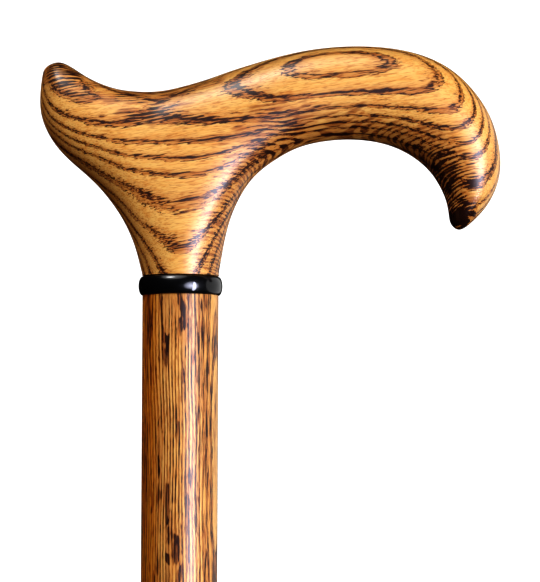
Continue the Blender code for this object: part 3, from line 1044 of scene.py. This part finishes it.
camera = {
    "distance": 1.02,
    "below": 3.45,        # degrees under the horizon
    "roll": 0.2,          # degrees
    "sensor": 36.0,       # mm
    "pixel": 0.2917e-3,   # metres that one pixel of the 540 x 582 picture covers
    "frameHeight": 582,
    "axisX": 180.5,       # pixel column of the shaft's axis
    "collarY": 294.5,     # pixel row of the collar's lower edge, seen from below
    "collarEdge": 0.0004,  # how far over the collar's foot that row lies
    "frameCentre": (270.0, 291.0),
}


def placeCamera():
    pixel = camera["pixel"]
    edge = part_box("collar")[0].z + camera["collarEdge"]
    target = Vector((
        (camera["frameCentre"][0] - camera["axisX"]) * pixel,
        0.0,
        edge + (camera["collarY"] - camera["frameCentre"][1]) * pixel,
    ))
    below = math.radians(camera["below"])
    lens = bpy.data.cameras.new("camera")
    lens.sensor_fit = "AUTO"
    lens.sensor_width = camera["sensor"]
    lens.lens = camera["sensor"] / camera["frameHeight"] / pixel * camera["distance"]
    eye = bpy.data.objects.new("camera", lens)
    bpy.context.scene.collection.objects.link(eye)
    eye.location = target - Vector((0.0, math.cos(below), math.sin(below))) * camera["distance"]
    eye.rotation_mode = "QUATERNION"
    look = (target - eye.location).to_track_quat("-Z", "Y")
    eye.rotation_quaternion = look @ Quaternion((0.0, 0.0, 1.0), math.radians(camera["roll"]))
    bpy.context.scene.camera = eye


placeCamera()


# Studio: softboxes round the handle, a pale floor, white all round

# spread is how wide each softbox throws its light: a narrow one fades towards its rim.
# The cool ones make the highlights, and the warm one on the left the reddish shade.
lights = {
    "keyHot": {"azimuth": 40, "elevation": -14, "turn": 2, "size": (0.22, 1.25), "watts": 8.6,
               "colour": (0.92, 0.95, 1.20)},
    "keyCore": {"azimuth": 32, "elevation": -6, "size": (1.30, 1.10), "spread": 46, "watts": 2.2,
                "colour": (0.92, 0.94, 1.20)},
    "keyWide": {"azimuth": 45, "elevation": -3, "size": (1.35, 1.15), "watts": 20.6},
    "topCore": {"azimuth": -36, "elevation": 50, "size": (0.50, 0.40), "spread": 26, "watts": 0.16},
    "topWide": {"azimuth": -28, "elevation": 57, "size": (1.30, 1.30), "spread": 75, "watts": 1.6},
    "topGlow": {"azimuth": -28, "elevation": 57, "size": (1.00, 1.00), "spread": 60, "watts": 0.80,
                "colour": (0.95, 0.92, 1.10)},
    "side": {"azimuth": 115, "elevation": 0, "size": (2.00, 1.60), "watts": 4.6},
    "left": {"azimuth": -102, "elevation": 0, "size": (1.60, 1.60), "watts": 3.6,
             "colour": (1.0, 0.55, 0.25)},
    "back": {"azimuth": 184, "elevation": 8, "size": (1.60, 1.60), "watts": 15.0},
}
notMirrored = ("keyWide", "left", "back")        # these light the wood, unseen in the lacquer
onlyMirrored = ("keyHot", "keyCore", "topGlow")  # these show in the lacquer and light nothing
studio = {
    "target": (0.02, 0.0, 0.87),
    "distance": 1.2,      # of every softbox
    "fill": 0.010,
    "glossyFill": 0.003,  # what the lacquer mirrors of the dim room
    "floorSize": 12.0,
    "floorColour": (0.82, 0.82, 0.81, 1.0),
    "floorGlow": 0.85,    # keeps the floor pale where the softboxes don't reach
}


def addSoftbox(name, kind):
    azimuth = math.radians(kind["azimuth"])
    elevation = math.radians(kind["elevation"])
    away = Vector((
        math.sin(azimuth) * math.cos(elevation),
        -math.cos(azimuth) * math.cos(elevation),
        math.sin(elevation),
    ))
    lamp = bpy.data.lights.new(name, "AREA")
    lamp.shape = "ELLIPSE"
    lamp.size, lamp.size_y = kind["size"]
    lamp.spread = math.radians(kind.get("spread", 180.0))
    lamp.energy = kind["watts"]
    lamp.color = kind.get("colour", (1.0, 1.0, 1.0))
    softbox = bpy.data.objects.new(name, lamp)
    bpy.context.scene.collection.objects.link(softbox)
    softbox.location = Vector(studio["target"]) + away * studio["distance"]
    softbox.rotation_mode = "QUATERNION"
    turn = Quaternion((0.0, 0.0, 1.0), math.radians(kind.get("turn", 0.0)))
    softbox.rotation_quaternion = (-away).to_track_quat("-Z", "Y") @ turn
    softbox.visible_camera = False
    softbox.visible_glossy = name not in notMirrored
    softbox.visible_diffuse = name not in onlyMirrored


def addWorld():
    # white where the camera sees it, dimmer as a fill light
    world = bpy.data.worlds.new("studioWorld")
    bpy.context.scene.world = world
    world.use_nodes = True
    tree = world.node_tree
    path = addNode(tree, "ShaderNodeLightPath").outputs
    dim = spread(tree, path["Is Glossy Ray"], 0.0, 1.0, studio["fill"], studio["glossyFill"], "LINEAR")
    strength = calc(tree, "MAXIMUM", path["Is Camera Ray"], dim)
    plug(tree, (1.0, 1.0, 1.0, 1.0), tree.nodes["Background"].inputs["Color"])
    plug(tree, strength, tree.nodes["Background"].inputs["Strength"])


def addFloor():
    half = studio["floorSize"] / 2
    mesh = bpy.data.meshes.new("floor")
    corners = [(-half, -half, 0.0), (half, -half, 0.0), (half, half, 0.0), (-half, half, 0.0)]
    mesh.from_pydata(corners, [], [(0, 1, 2, 3)])
    material, tree, shader = newMaterial("paleFloor", {"Roughness": 0.7})
    shader.inputs["Base Color"].default_value = studio["floorColour"]
    shader.inputs["Emission Color"].default_value = studio["floorColour"]
    shader.inputs["Emission Strength"].default_value = studio["floorGlow"]
    floor = addPiece("floor", mesh, material)
    floor.visible_glossy = False
    floor.visible_diffuse = False


for name, kind in lights.items():
    addSoftbox(name, kind)
addWorld()
addFloor()
bpy.context.scene.view_settings.view_transform = "Standard"
bpy.context.scene.view_settings.look = "High Contrast"
print("studio lit")
